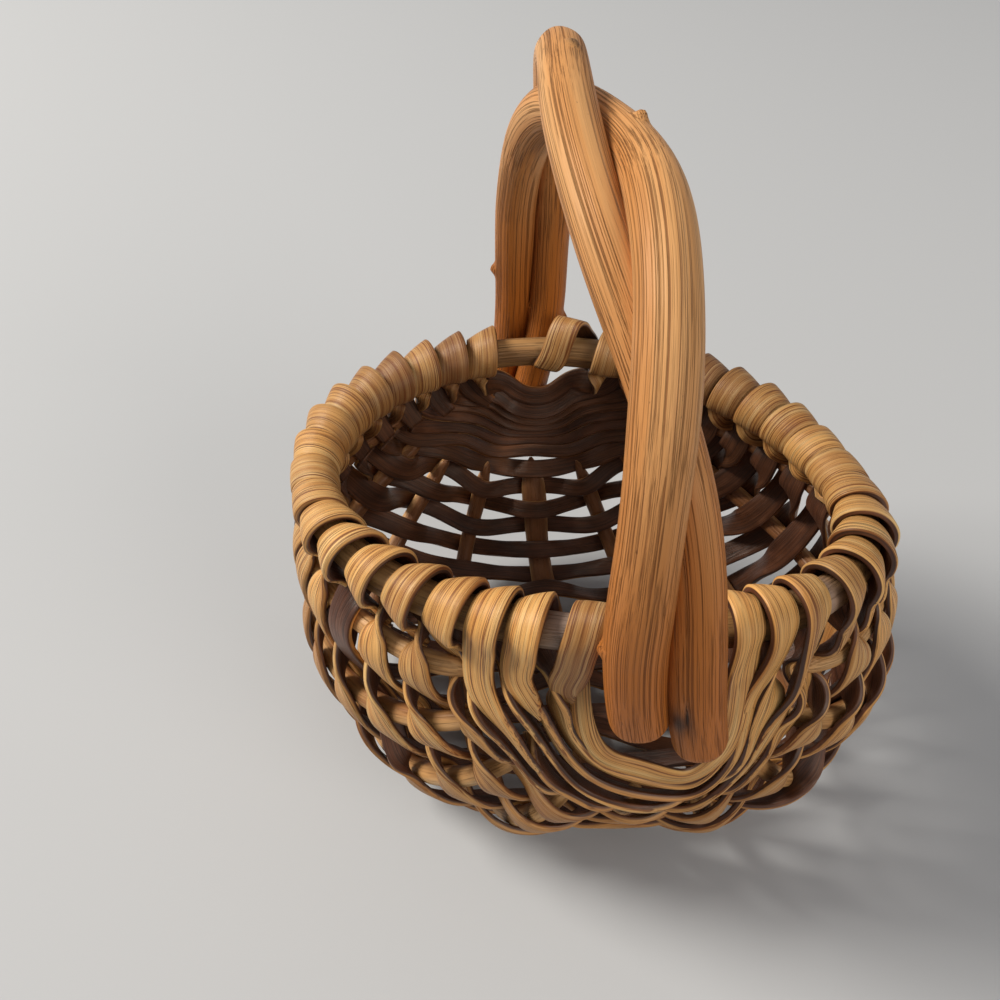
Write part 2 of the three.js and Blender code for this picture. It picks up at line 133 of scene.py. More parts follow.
def wall_field(x, y, depth):
    """Positive outside the wall's middle surface, negative inside it."""
    reach = np.hypot(x / RIM_HALF_WIDTH, y / RIM_HALF_LENGTH)
    cosine = x / RIM_HALF_WIDTH / np.maximum(reach, 1e-9)
    drop = rim_drop(cosine)
    full_depth = ear_line_height(y) - BOTTOM_HEIGHT - drop
    plain = (depth - drop) / full_depth
    level = plain + KEEL_RAISE / full_depth * hump(x, 0, KEEL_GROOVE) * smooth(plain)
    closing = np.maximum(0, 1 - np.maximum(0, level) ** BOTTOM_FULLNESS) ** (1 / BOTTOM_FULLNESS)
    rightness = 0.5 + cosine / 2
    widest = mix(LEFT_BULGE_LEVEL, RIGHT_BULGE_LEVEL, rightness)
    swell = hump(level, widest, SIDE_BULGE_SPREAD) - hump(0, widest, SIDE_BULGE_SPREAD)
    side = mix(LEFT_BULGE, RIGHT_BULGE, rightness) / RIM_HALF_WIDTH * swell
    low = EAR_BULGE / RIM_HALF_LENGTH * hump(level, EAR_BULGE_LEVEL, EAR_BULGE_SPREAD)
    swelling = mix(side, low, hump(x, 0, EAR_HALF_WIDTH)) * clamp01(closing * SWELLING_FADE)
    return reach - closing - np.where(level > 0, swelling, 0)


def wall_point(tilt, turn):
    """Where a ray from the middle of the ear line meets the wall."""
    tilt, turn = np.broadcast_arrays(tilt, turn)
    ray = np.stack([np.sin(turn) * np.cos(tilt), -np.cos(turn), np.sin(turn) * np.sin(tilt)], axis=-1)
    inside = np.zeros(tilt.shape)
    outside = np.full(tilt.shape, 2 * RIM_HALF_WIDTH)
    for _ in range(HALVINGS):
        middle = (inside + outside) / 2
        beyond = wall_field(*np.moveaxis(ray * middle[..., None], -1, 0)) > 0
        outside = np.where(beyond, middle, outside)
        inside = np.where(beyond, inside, middle)
    return ray * inside[..., None]


# %% A net over the wall, evenly spaced along the ear-to-ear lines
NET_ALONG = 160
NET_ACROSS = 64
FINE = np.linspace(0, 1, 201)


def running_length(points):
    steps = np.linalg.norm(np.diff(points, axis=0), axis=-1)
    return np.concatenate([[0], np.cumsum(steps)])


def evenly(curve, shares):
    """Points of a curve at shares of its length."""
    lengths = running_length(curve(FINE))
    return curve(np.interp(np.asarray(shares) * lengths[-1], lengths, FINE))


def rim_line(side):
    return lambda share: rim_point(np.pi * share, side)


def tilted_line(tilt):
    return lambda share: from_ear_line(*np.moveaxis(wall_point(tilt, np.pi * share), -1, 0))


def half_section(side):
    drop = RIM_RIGHT_DROP if side > 0 else RIM_LEFT_DROP
    start = np.arctan2(drop, RIM_HALF_WIDTH)

    def curve(share):
        tilt = mix(start, np.pi / 2, share)
        return wall_point(tilt if side > 0 else np.pi - tilt, np.pi / 2)

    return curve


def net_column(column):
    across = 2 * column / NET_ACROSS - 1
    side = -1 if across < 0 else 1
    shares = np.linspace(0, 1, NET_ALONG + 1)
    if column % NET_ACROSS == 0:
        return evenly(rim_line(side), shares)
    x, _, depth = evenly(half_section(side), 1 - abs(across))
    return evenly(tilted_line(np.arctan2(depth, x)), shares)


wall_net = np.stack([net_column(column) for column in range(NET_ACROSS + 1)]) + to_frame


def body_point(along, across):
    """along runs from the front ear to the back ear, across from the left rim to the right."""
    along, across = np.broadcast_arrays(np.asarray(along, float), np.asarray(across, float))
    column = clamp01((across + 1) / 2) * NET_ACROSS
    row = clamp01(along) * NET_ALONG
    c = np.minimum(NET_ACROSS - 1, column.astype(int))
    r = np.minimum(NET_ALONG - 1, row.astype(int))
    down, over = (row - r)[..., None], (column - c)[..., None]
    left = mix(wall_net[c, r], wall_net[c, r + 1], down)
    right = mix(wall_net[c + 1, r], wall_net[c + 1, r + 1], down)
    return mix(left, right, over)


def tangent_along(along, across, step=0.015):
    return unit(body_point(along + step, across) - body_point(along - step, across))


def tangent_across(along, across, step=0.03):
    return unit(body_point(along, across + step) - body_point(along, across - step))


def wall_normal(along, across):
    return unit(np.cross(tangent_along(along, across), tangent_across(along, across)))


print("the wall reaches from", np.round(wall_net.min(axis=(0, 1)) / mm, 1), "to",
      np.round(wall_net.max(axis=(0, 1)) / mm, 1))

# %% [markdown]
# ## Meshes swept along a course
# A ribbon or a stem is one cross-section carried along a line. A curve object with a bevel
# could do it, but then every section is alike. Here the rings are laid by code, so the
# width, the twist and the roundness change along the piece. Each point also keeps its place
# on the piece as if it were straight again, because wood grain follows the stem round
# every bend.

# %% A smooth curve through chosen points
def spline(knots, values, wanted):
    """A natural cubic spline, which bends as evenly as a springy strip does."""
    gaps = np.diff(knots)
    count = len(knots)
    matrix = np.eye(count)
    pull = np.zeros((count, values.shape[1]))
    for i in range(1, count - 1):
        matrix[i, i - 1 : i + 2] = gaps[i - 1], 2 * (gaps[i - 1] + gaps[i]), gaps[i]
        pull[i] = 6 * ((values[i + 1] - values[i]) / gaps[i] - (values[i] - values[i - 1]) / gaps[i - 1])
    bend = np.linalg.solve(matrix, pull)
    cell = np.clip(np.searchsorted(knots, wanted) - 1, 0, count - 2)
    h = gaps[cell][:, None]
    a = (knots[cell + 1] - wanted)[:, None] / h
    b = 1 - a
    curved = ((a**3 - a) * bend[cell] + (b**3 - b) * bend[cell + 1]) * h * h / 6
    return a * values[cell] + b * values[cell + 1] + curved


def forwards(points, closed=False):
    if closed:
        return unit(np.roll(points, -1, axis=0) - np.roll(points, 1, axis=0))
    return unit(np.gradient(points, axis=0))


# %% The mesh of a swept piece
def sweep(name, rings, grain_place, marks, closed=False):
    """Rings are (count, sides, 3). Marks are numbers kept at every point for the materials."""
    count, sides, _ = rings.shape
    mesh = bpy.data.meshes.new(name)
    index = np.arange(count * sides).reshape(count, sides)
    ahead = np.roll(index, -1, axis=0) if closed else index[1:]
    here = index if closed else index[:-1]
    quads = np.stack([here, np.roll(here, -1, axis=1), np.roll(ahead, -1, axis=1), ahead], axis=-1)
    faces = quads.reshape(-1, 4).tolist()
    if not closed:
        faces += [index[0, ::-1].tolist(), index[-1].tolist()]
    mesh.from_pydata(rings.reshape(-1, 3).tolist(), [], faces)
    mesh.polygons.foreach_set("use_smooth", [True] * len(faces))
    grain = mesh.attributes.new("grain_place", "FLOAT_VECTOR", "POINT")
    grain.data.foreach_set("vector", grain_place.astype(np.float32).ravel())
    for mark, values in marks.items():
        attribute = mesh.attributes.new(mark, "FLOAT", "POINT")
        spread = np.broadcast_to(values, (count, sides)).astype(np.float32)
        attribute.data.foreach_set("value", spread.ravel())
    mesh.update()
    piece = bpy.data.objects.new(name, mesh)
    bpy.context.scene.collection.objects.link(piece)
    return piece


# %% The cross-section of a split strip
STRIP_THICKNESS = 1.0 * mm
STRIP_CROWN = 0.16 * mm
STRIP_CORNER = 0.13 * mm
FACE_STEPS = 7

# Height on the strip's edge as a share of its thickness, and the least bark that shows there.
EDGE = [(0.30, 0.0), (0.0, 0.08), (-0.22, 0.35), (-0.38, 1.0)]


def strip_section(width, thickness):
    """Sections for every station, counted round from the right corner of the outer face."""
    half = width / 2
    shares = np.linspace(1, -1, FACE_STEPS)
    bark = []
    corners = []
    for share in shares:
        crown = STRIP_CROWN * (1 - share * share)
        corners.append(((half - STRIP_CORNER) * share, thickness / 2 + crown))
        bark.append(0)
    for height, barkness in EDGE:
        corners.append((-half, thickness * height))
        bark.append(barkness)
    for share in shares[::-1]:
        corners.append(((half - STRIP_CORNER) * share, -thickness / 2))
        bark.append(1)
    for height, barkness in EDGE[::-1]:
        corners.append((half, thickness * height))
        bark.append(barkness)
    return np.array(corners).transpose(2, 0, 1), np.array(bark, float)


# %% A ribbon through stations
SAMPLE = 0.45 * mm
LEAST_WIDTH = 0.5 * mm
THINNEST = 0.3
TAPER_WIDTH = 4 * mm
UNEVENNESS = 0.07
GRAIN_SPREAD = 400
PAINTED_SHADE_HEIGHT = 50 * mm
PAINTED_SHADE_FADE = 34 * mm
LEAST_DARK_EDGE = 0.42
DARK_EDGE_START = 4 * mm
DARK_EDGE_FADE = 14 * mm
random = np.random.default_rng(7)


def ribbon(name, stations, tone):
    """Bends a split strip through stations: points, directions of its golden face, and widths.

    It is darker lower down as painted shade, and its bark comes further round the edge on the basket's
    right.
    """
    points, outers, widths = (np.array(part) for part in zip(*stations))
    knots = running_length(points)
    wanted = np.linspace(0, knots[-1], int(knots[-1] / SAMPLE))
    line = spline(knots, points, wanted)
    forward = forwards(line)
    outer = spline(knots, outers, wanted)
    outer = unit(outer - forward * np.sum(outer * forward, axis=-1, keepdims=True))
    sideways = np.cross(outer, forward)
    width = np.maximum(LEAST_WIDTH, spline(knots, widths[:, None], wanted)[:, 0])
    wobble = spline(knots, random.normal(0, 1, (len(knots), 1)), wanted)[:, 0]
    thinning = np.minimum(1, THINNEST + width / TAPER_WIDTH)
    section, bark = strip_section(width, STRIP_THICKNESS * thinning * (1 + UNEVENNESS * wobble))
    rings = line[:, None] + sideways[:, None] * section[..., :1] + outer[:, None] * section[..., 1:]
    rings[..., 2] = np.maximum(rings[..., 2], 0)
    offset = random.uniform(0, GRAIN_SPREAD, 3)
    lengthwise = np.broadcast_to((wanted / mm)[:, None], section.shape[:2])
    place = np.concatenate([section / mm, lengthwise[..., None]], axis=-1) + offset
    # Painted shade: the strips darken lower down on the basket, where less light reaches them.
    browned = smooth((PAINTED_SHADE_HEIGHT - line[:, 2]) / PAINTED_SHADE_FADE)[:, None]
    on_right = smooth((line[:, 0] - DARK_EDGE_START) / DARK_EDGE_FADE)[:, None]
    round_edge = (bark > 0).astype(float)
    bark = mix(bark, round_edge, mix(LEAST_DARK_EDGE, 1, on_right))
    marks = {"bark": bark, "tone": tone, "browned": browned}
    return sweep(name, rings, place, marks)


# %% A rod through centres
INNER_SHADE_EDGE = 0.35


def carried(points, closed=False):
    """Sideways and upward directions that follow a line without twisting."""
    forward = forwards(points, closed)
    guide = np.array([0, 0, 1.0]) if abs(forward[0, 2]) < 0.9 else np.array([0, 1.0, 0])
    sideways = [np.cross(guide, forward[0])]
    for ahead in forward:
        last = sideways[-1]
        sideways.append(unit(last - ahead * np.dot(last, ahead)))
    sideways = np.array(sideways[1:])
    return sideways, np.cross(forward, sideways)


def rod(name, centres, radii, tone, closed=False, outward=None, extra=None):
    """Radii are (count, sides), so that a stem can have lumps, flats and buds."""
    count, sides = radii.shape
    sideways, upward = carried(centres, closed)
    angle = np.linspace(0, 2 * np.pi, sides, endpoint=False)
    x, y = radii * np.cos(angle), radii * np.sin(angle)
    rings = centres[:, None] + sideways[:, None] * x[..., None] + upward[:, None] * y[..., None]
    lengthwise = np.broadcast_to((running_length(centres) / mm)[:, None], (count, sides))
    place = np.stack([x / mm, y / mm, lengthwise], axis=-1) + random.uniform(0, GRAIN_SPREAD, 3)
    marks = {"tone": tone, **(extra or {})}
    # When the outward direction is given, the rod's side inside the basket is marked for painted shade.
    if outward is not None:
        facing_out = np.sum(unit(rings - centres[:, None]) * outward[:, None], axis=-1)
        marks["inner"] = smooth(INNER_SHADE_EDGE - facing_out)
    return sweep(name, rings, place, marks, closed)


# %% [markdown]
# ## Finishes
# The real strips are split vine: the outer face is golden wood with fine brown lines along
# it, and the other face keeps its dark bark. A picture could be wrapped over them, but noise
# stretched along the grain gives the lines at any size and never repeats. Numbers kept at
# the mesh's points say where the bark lies, how brown or stained the wood is, and where
# painted shade darkens it. The shader's arithmetic is written as plain expressions by a
# small class that wraps a socket.

# %% A socket that can be added and multiplied
def picked(sockets, name):
    """A socket by its number, or the first one with that identifier or name."""
    if isinstance(name, int):
        return sockets[name]
    return next(socket for socket in sockets if name in (socket.identifier, socket.name))


def feed(tree, socket, value):
    """Links a wire to a socket, or gives the socket a plain value."""
    if isinstance(value, Wire):
        tree.links.new(value.socket, socket)
    else:
        socket.default_value = value


class Wire:
    """One output of a node, with arithmetic that adds Math nodes."""

    def __init__(self, tree, socket):
        self.tree = tree
        self.socket = socket

    def maths(self, operation, first, second):
        return self.node("ShaderNodeMath", {"operation": operation}, {0: first, 1: second})

    def node(self, kind, settings, sockets, output=0):
        """Adds a node of any kind: its settings first, then its sockets' values or links."""
        made = self.tree.nodes.new(kind)
        for setting, value in settings.items():
            if setting == "stops":
                stops = made.color_ramp.elements
                while len(stops) < len(value):
                    stops.new(1.0)
                for stop, (position, color) in zip(stops, value):
                    stop.position = position
                    stop.color = color
            else:
                setattr(made, setting, value)
        for name, value in sockets.items():
            feed(self.tree, picked(made.inputs, name), value)
        return Wire(self.tree, picked(made.outputs, output))

    def __add__(self, other):
        return self.maths("ADD", self, other)

    __radd__ = __add__

    def __mul__(self, other):
        return self.maths("MULTIPLY", self, other)

    __rmul__ = __mul__

    def __sub__(self, other):
        return self.maths("SUBTRACT", self, other)

    def __rsub__(self, other):
        return self.maths("SUBTRACT", other, self)


# %% Colours as they look, and the parts that all the finishes share
def seen(red, green, blue):
    """A colour given as it is seen, from 0 to 255, as the shader wants it."""
    shares = np.array([red, green, blue]) / 255
    linear = np.where(shares <= 0.04045, shares / 12.92, ((shares + 0.055) / 1.055) ** 2.4)
    return (*linear.tolist(), 1.0)


def new_finish(name):
    """A material with an empty Principled shader, and a wire to build from."""
    material = bpy.data.materials.new(name)
    material.use_nodes = True
    shader = material.node_tree.nodes["Principled BSDF"]
    return material, shader, Wire(material.node_tree, None)


def grain(start, scale, detail=2.0, roughness=0.55):
    """Noise in the straightened wood, with its own scale across, through and along the grain."""
    place = start.node("ShaderNodeAttribute", {"attribute_name": "grain_place"}, {}, "Vector")
    stretched = start.node("ShaderNodeVectorMath", {"operation": "MULTIPLY"}, {0: place, 1: scale})
    settings = {"Scale": 1.0, "Detail": detail, "Roughness": roughness, "Vector": stretched}
    return start.node("ShaderNodeTexNoise", {}, settings, "Fac")


def mark(start, name):
    return start.node("ShaderNodeAttribute", {"attribute_name": name}, {}, "Fac")


def ramp(start, value, stops):
    return start.node("ShaderNodeValToRGB", {"stops": stops}, {"Fac": value}, "Color")


def blended(start, share, first, second):
    settings = {"data_type": "RGBA"}
    sockets = {"Factor_Float": share, "A_Color": first, "B_Color": second}
    return start.node("ShaderNodeMix", settings, sockets, "Result_Color")


def between(start, value, low, high):
    """0 below low, 1 above high, and a straight slope between."""
    sockets = {"Value": value, "From Min": low, "From Max": high}
    return start.node("ShaderNodeMapRange", {"clamp": True}, sockets, "Result")


def streaked(start, wood, noise, low, high, strength, color):
    """Wood with streaks of a colour, which begin where the noise is low and are full where it is high."""
    return blended(start, between(start, noise, low, high) * strength, wood, color)


def connect(shader, **sockets):
    for name, value in sockets.items():
        feed(shader.id_data, shader.inputs[name.replace("_", " ")], value)


def bumped(start, height, distance):
    sockets = {"Height": height, "Distance": distance, "Strength": 1.0}
    return start.node("ShaderNodeBump", {}, sockets, "Normal")


# %% Split vine: golden wood outside, dark bark inside
GOLDEN = [(0.30, seen(228, 162, 88)), (0.50, seen(247, 190, 114)), (0.72, seen(255, 216, 148))]
WEATHERED = [(0.30, seen(108, 70, 40)), (0.52, seen(150, 106, 66)), (0.75, seen(190, 148, 104))]
BARK_BROWNS = [(0.3, seen(56, 29, 17)), (0.55, seen(94, 55, 36)), (0.8, seen(142, 96, 70))]


def split_vine_finish():
    material, shader, start = new_finish("split_vine")
    tone = mark(start, "tone")
    wide = grain(start, (1.1, 0.6, 0.030), 2.0)
    fine = grain(start, (4.6, 1.4, 0.045), 3.0, 0.72)
    hair = grain(start, (13.0, 4.0, 0.08), 2.0, 0.6)
    cloud = grain(start, (0.25, 0.25, 0.12), 2.0)
    wood = blended(start, tone, ramp(start, wide, GOLDEN), ramp(start, wide, WEATHERED))
    wood = streaked(start, wood, fine, 0.52, 0.59, 0.9, seen(118, 62, 20))
    wood = streaked(start, wood, hair, 0.52, 0.68, 0.5, seen(104, 58, 26))
    wood = streaked(start, wood, cloud, 0.5, 0.75, 0.35, seen(150, 86, 40))
    # Painted shade: the lower strips are blended towards this darker brown.
    wood = blended(start, mark(start, "browned") * 0.5, wood, seen(146, 88, 40))
    bark = blended(start, tone * 0.5, ramp(start, cloud, BARK_BROWNS), seen(122, 80, 46))
    bark = streaked(start, bark, fine, 0.46, 0.60, 0.65, seen(36, 20, 13))
    barkness = between(start, mark(start, "bark") + (fine - 0.5) * 0.35, 0.35, 0.62)
    connect(shader, Base_Color=blended(start, barkness, wood, bark))
    connect(shader, Roughness=0.46 - barkness * 0.04 + (fine - 0.5) * 0.25)
    connect(shader, Normal=bumped(start, fine * 0.6 + hair * 0.4 + wide * 0.5, 0.16 * mm))
    return material


split_vine = split_vine_finish()


# %% Peeled stem wood for the handle
HONEY = [(0.28, seen(204, 140, 80)), (0.50, seen(226, 165, 104)), (0.74, seen(242, 193, 134))]


def peeled_stem_finish():
    material, shader, start = new_finish("peeled_stem")
    connect(shader, Specular_IOR_Level=0.25)
    broad = grain(start, (0.30, 0.30, 0.010), 2.0)
    groove = grain(start, (5.0, 5.0, 0.005), 3.0, 0.6)
    hair = grain(start, (11.0, 11.0, 0.02), 2.0, 0.6)
    speck = grain(start, (1.6, 1.6, 0.7), 2.0, 0.6)
    wood = blended(start, mark(start, "foot") * 0.95, ramp(start, broad, HONEY), seen(190, 110, 40))
    grooves = between(start, groove, 0.52, 0.66)
    wood = blended(start, grooves * 0.66, wood, seen(124, 68, 28))
    wood = streaked(start, wood, hair, 0.54, 0.72, 0.4, seen(124, 70, 30))
    wood = streaked(start, wood, speck, 0.72, 0.76, 0.6, seen(110, 64, 32))
    wood = blended(start, mark(start, "stain"), wood, seen(40, 32, 30))
    connect(shader, Base_Color=wood)
    connect(shader, Roughness=0.42 + grooves * 0.2)
    connect(shader, Normal=bumped(start, 1 - grooves * 0.8 - hair * 0.25, 0.22 * mm))
    return material


peeled_stem = peeled_stem_finish()


# %% The hoop's and the ribs' bare wood
def bare_wood_finish(name, dark, plain, pale, fade_and_shade_mark, fade_and_shade_color, hidden):
    """Fibrous wood with a marked place in another colour: faded cut wood on the hoop, and painted shade on
    the ribs' side inside the basket. Hidden is how much the fibres cover of it.
    """
    material, shader, start = new_finish(name)
    broad = grain(start, (0.35, 0.35, 0.03), 3.0)
    fibre = grain(start, (3.5, 3.5, 0.05), 3.0, 0.65)
    wood = ramp(start, broad, [(0.30, dark), (0.52, plain), (0.75, pale)])
    fibres = between(start, fibre, 0.5, 0.7)
    wood = blended(start, fibres * 0.5, wood, dark)
    wood = blended(start, mark(start, fade_and_shade_mark) * (1 - fibres * hidden), wood, fade_and_shade_color)
    connect(shader, Base_Color=wood, Roughness=0.5 + fibres * 0.2)
    connect(shader, Normal=bumped(start, 1 - fibres, 0.15 * mm))
    return material


HOOP_BROWNS = [seen(112, 78, 46), seen(172, 128, 78), seen(206, 164, 112)]
RIB_BROWNS = [seen(160, 108, 62), seen(216, 166, 108), seen(236, 194, 142)]
hoop_wood = bare_wood_finish("hoop_wood", *HOOP_BROWNS, "faded", seen(186, 160, 144), 0.5)
# The ribs get a darker brown on their side inside the basket as painted shade.
rib_wood = bare_wood_finish("rib_wood", *RIB_BROWNS, "inner", seen(134, 86, 48), 0)
print("finishes:", [finish.name for finish in (split_vine, peeled_stem, hoop_wood, rib_wood)])


# %% [markdown]
# ## Ribs
# The ribs are thin peeled rods that run from ear to ear under the weave, sharpened at both
# ends. They mostly hide, but they show as pale rods between the strips. Plain cylinders
# would look like plastic there, so each one is a rod with a slightly uneven radius and with
# painted shade on its side inside the basket, and the middle one is wide and flat.

# %% Where the ribs lie on the wall
RIB_RADIUS = 1.6 * mm
RIB_TIP_RADIUS = 0.8 * mm
RIBS_PER_SIDE = 4
FIRST_RIB_DROP = 11 * mm
FIRST_RIB_SHARE = 0.60
RIB_START = 0.13
RIB_TAPER_END = 0.24
GIRTH_STEPS = np.arange(61)


def rib_across(along, side, number):
    """Where a rib crosses the girth: it keeps an even distance from its neighbours."""
    shares = side * (1 - GIRTH_STEPS / GIRTH_STEPS[-1])
    lengths = running_length(body_point(along, shares))
    first = min(FIRST_RIB_DROP, FIRST_RIB_SHARE * lengths[-1])
    drop = mix(first, lengths[-1], (number - 1) / RIBS_PER_SIDE)
    return side * (1 - np.interp(drop, lengths, GIRTH_STEPS) / GIRTH_STEPS[-1])


def rib_radius(along):
    near_end = np.minimum(along, 1 - along)
    return mix(RIB_TIP_RADIUS, RIB_RADIUS, smooth((near_end - RIB_START) / (RIB_TAPER_END - RIB_START)))


# %% Make the ribs
RIB_SIDES = 20
RIB_RINGS = 90
FRONT_RIB_SINK = 1.6 * mm
BACK_RIB_SINK = -0.6 * mm
RIB_FRONT_END = 0.175
RIB_BACK_END = 1 - 0.185
RIB_SINK_SHARE = 0.08
RIB_POINT_SHARE = 0.03
RIB_POINT = 0.15
RIB_LUMPS = 0.05
RIB_FLATS = 0.03
KEEL_HALF_WIDTH = 2.4 * mm


def dress(piece, node, material):
    """Gives a finished piece its material and its place in the frame."""
    piece.data.materials.append(material)
    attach(piece, "root")
    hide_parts(node)


def make_rib(node, side, number):
    """The sharpened ends dip in behind the nested strips at the front, and rise to them at the back."""
    shares = np.linspace(RIB_FRONT_END, RIB_BACK_END, RIB_RINGS)
    places = [(share, rib_across(share, side, number)) for share in shares]
    centres = np.array([body_point(*place) for place in places])
    outward = np.array([wall_normal(*place) for place in places])
    from_tip = np.minimum(shares - RIB_FRONT_END, RIB_BACK_END - shares)
    sink = np.where(shares < 0.5, FRONT_RIB_SINK, BACK_RIB_SINK) * (1 - smooth(from_tip / RIB_SINK_SHARE))
    centres -= outward * sink[:, None]
    point = mix(RIB_POINT, 1, np.sqrt(clamp01(from_tip / RIB_POINT_SHARE)))
    lumps = 1 + RIB_LUMPS * np.sin(np.linspace(0, 23, RIB_RINGS) + number)[:, None]
    angle = np.linspace(0, 2 * np.pi, RIB_SIDES, endpoint=False)
    flats = 1 + RIB_FLATS * np.cos(3 * angle + number)[None, :]
    if node == "keel_rib":
        flats = 1 / np.hypot(np.cos(angle) * RIB_RADIUS / KEEL_HALF_WIDTH, np.sin(angle))[None, :]
    radii = (rib_radius(shares) * point)[:, None] * lumps * flats
    piece = rod(f"rod_{node}", centres, radii, random.uniform(0, 1), outward=outward)
    dress(piece, node, rib_wood)


make_rib("keel_rib", 1, RIBS_PER_SIDE + 1)
for number in range(1, RIBS_PER_SIDE + 1):
    make_rib(f"rib_right_{number}", 1, number)
    make_rib(f"rib_left_{number}", -1, number)
print("ribs made:", 2 * RIBS_PER_SIDE + 1)

# %% Make the hoop
HOOP_SIDES = 32
HOOP_RINGS = 360
FADED_TURNS = (0.2 * np.pi, 1.925 * np.pi)
FADED_SPREAD = 0.07
hoop_turns = np.linspace(0, 2 * np.pi, HOOP_RINGS, endpoint=False)
hoop_centres = rim_point(hoop_turns) + to_frame
hoop_lumps = 1 + 0.03 * np.sin(5 * hoop_turns)[:, None] + 0.02 * np.sin(13 * hoop_turns + 1)[:, None]
hoop_radii = HOOP_RADIUS * hoop_lumps * np.ones((1, HOOP_SIDES))
hoop_faded = sum(hump(hoop_turns, turn, FADED_SPREAD) for turn in FADED_TURNS)[:, None]
bent_hoop = rod("bent_hoop", hoop_centres, hoop_radii, 0.5, closed=True, extra={"faded": hoop_faded})
dress(bent_hoop, "rim_hoop", hoop_wood)
print("the hoop's middle line spans, in mm:", np.round(np.ptp(hoop_centres, axis=0) / mm, 1))

# %% [markdown]
# ## Weavers
# Seventeen split strips cross the ribs. Each comes up outside the wall on the right, turns
# over the hoop, comes out again under it and crosses to the left, where it turns over the
# hoop once more. A real strip isn't squeezed narrower where two rows pass: it turns on
# edge, and its golden face closes to a leaf tip there. So each station says which way the
# golden face looks, and the ribbon twists from one to the next.

# %% Where the rows lie
WEAVERS = 17
ROWS = 2 * WEAVERS
FRONT_ROW_START = 0.128
BACK_ROW_START = 0.07
RIM_ROW_START = 0.10
ROW_CROWDING = 0.33
PULL_AT_EARS = 0.012
PULL_BETWEEN = 0.030
PULL_PLACE = 0.43
PULL_SPREAD = 0.25
FOOT_SHIFT = 0.15
FOOT_SHIFT_ROWS = 0.25
FOOT_ROOM_ROWS = 0.2
RIGHT_DRAW_FIRST = 0.4
RIGHT_DRAW_EASE = 0.1
DRAW_END = 0.08
DRAW_FADE = 0.3
RIM_DRAW_START = 0.6
RIM_BLEND = 1.5
CROSSING_TRIES = 4

# Each bend's size, the place of its middle and its spread: across the girth, or among the rows at the rim.
FOOT_ROOM = (0.026, 0.12, 0.35)
LEFT_DRAW = (0.031, 0.62, 0.28)
RIGHT_DRAW = (0.027, 0.74, 0.2)
LEFT_RIM_DRAW = (0.019, 0.18, 0.12)
RIGHT_RIM_DRAW = (0.016, 0.115, 0.06)


def bend(place, size, middle, spread):
    return size * hump(place, middle, spread)


def drawn_to_ear(even, across):
    """How far the first rows bend to the front ear, beside the feet and on the rim."""
    rim = smooth((np.abs(across) - RIM_DRAW_START) / (1 - RIM_DRAW_START))
    first_rows = 1 - smooth((even - DRAW_END) / DRAW_FADE)
    left = bend(-across, *LEFT_DRAW) * first_rows + bend(even, *LEFT_RIM_DRAW) * rim
    right = bend(across, *RIGHT_DRAW) * first_rows * clamp01(RIGHT_DRAW_FIRST + even / RIGHT_DRAW_EASE)
    right += bend(even, *RIGHT_RIM_DRAW) * rim
    return np.where(across < 0, left, right)


def row_along(row, across):
    even = row / (ROWS - 1)
    shifted = across - FOOT_SHIFT * (1 - np.abs(across)) * smooth(1 - even / FOOT_SHIFT_ROWS)
    near_rim = np.abs(shifted) ** RIM_BLEND
    front = mix(FRONT_ROW_START, RIM_ROW_START, near_rim)
    front += bend(across, *FOOT_ROOM) * (1 - smooth(even / FOOT_ROOM_ROWS))
    front -= drawn_to_ear(even, across)
    back = mix(BACK_ROW_START, RIM_ROW_START, near_rim)
    crowded = even - (1 - near_rim) * ROW_CROWDING * np.sin(2 * np.pi * even) / (2 * np.pi)
    pull = PULL_AT_EARS * np.cos(np.pi * even) + PULL_BETWEEN * np.sin(2 * np.pi * even)
    return mix(front, 1 - back, crowded) - pull * hump(np.abs(shifted), PULL_PLACE, PULL_SPREAD)


def row_point(row, across):
    return body_point(row_along(row, across), across)


def row_crossing(row, side, number):
    """Where a row crosses a rib. Both bend, so each try starts from the last one."""
    across = side * (RIBS_PER_SIDE + 1 - number) / (RIBS_PER_SIDE + 1)
    for _ in range(CROSSING_TRIES):
        across = rib_across(row_along(row, across), side, number)
    return across


# %% How wide and how tilted a strip is
WALL_WIDTH = 4.6 * mm
BOTTOM_WIDTH = 3.3 * mm
RIB_WIDTH = 4.9 * mm
NEST_WIDTH = 4.5 * mm
TURN_WIDTH = 5.4 * mm
FIRST_TURN_WIDTH = 4.7 * mm
STRIP_GAP = 0.12 * mm
GOING_IN_TILT = np.radians(14)
STEEPEST_GOING_IN = np.radians(52)
COMING_OUT_TILT = np.radians(66)
BOTTOM_TILT = np.radians(22)
TIP_REACH = 0.8 * mm
GOING_IN_LIFT = 0.45 * mm
WALL_START = 0.3
WALL_BLEND = 0.35
FACING_CHANGE = 7


def on_wall(across):
    """0 under the bottom and 1 on the walls."""
    return smooth((abs(across) - WALL_START) / WALL_BLEND)


def strip_width(across):
    """A strip lies wide on the walls and draws narrow under the bottom."""
    return mix(BOTTOM_WIDTH, WALL_WIDTH, on_wall(across))


def row_pitch(row, across):
    here = row_point(row, across)
    return min(np.linalg.norm(row_point(row + step, across) - here) for step in (-1, 1))


def facing(row):
    """1 where strips turn their bark to the front ear, -1 where they turn it to the back ear."""
    return np.clip((0.5 - row / (ROWS - 1)) * FACING_CHANGE, -1, 1)


def tilted(row, across, tilt):
    """The golden face's direction: outward, turned away from the nearer ear by the tilt."""
    along = row_along(row, across)
    outward = wall_normal(along, across)
    return np.cos(tilt) * outward + np.sin(tilt) * facing(row) * tangent_along(along, across)


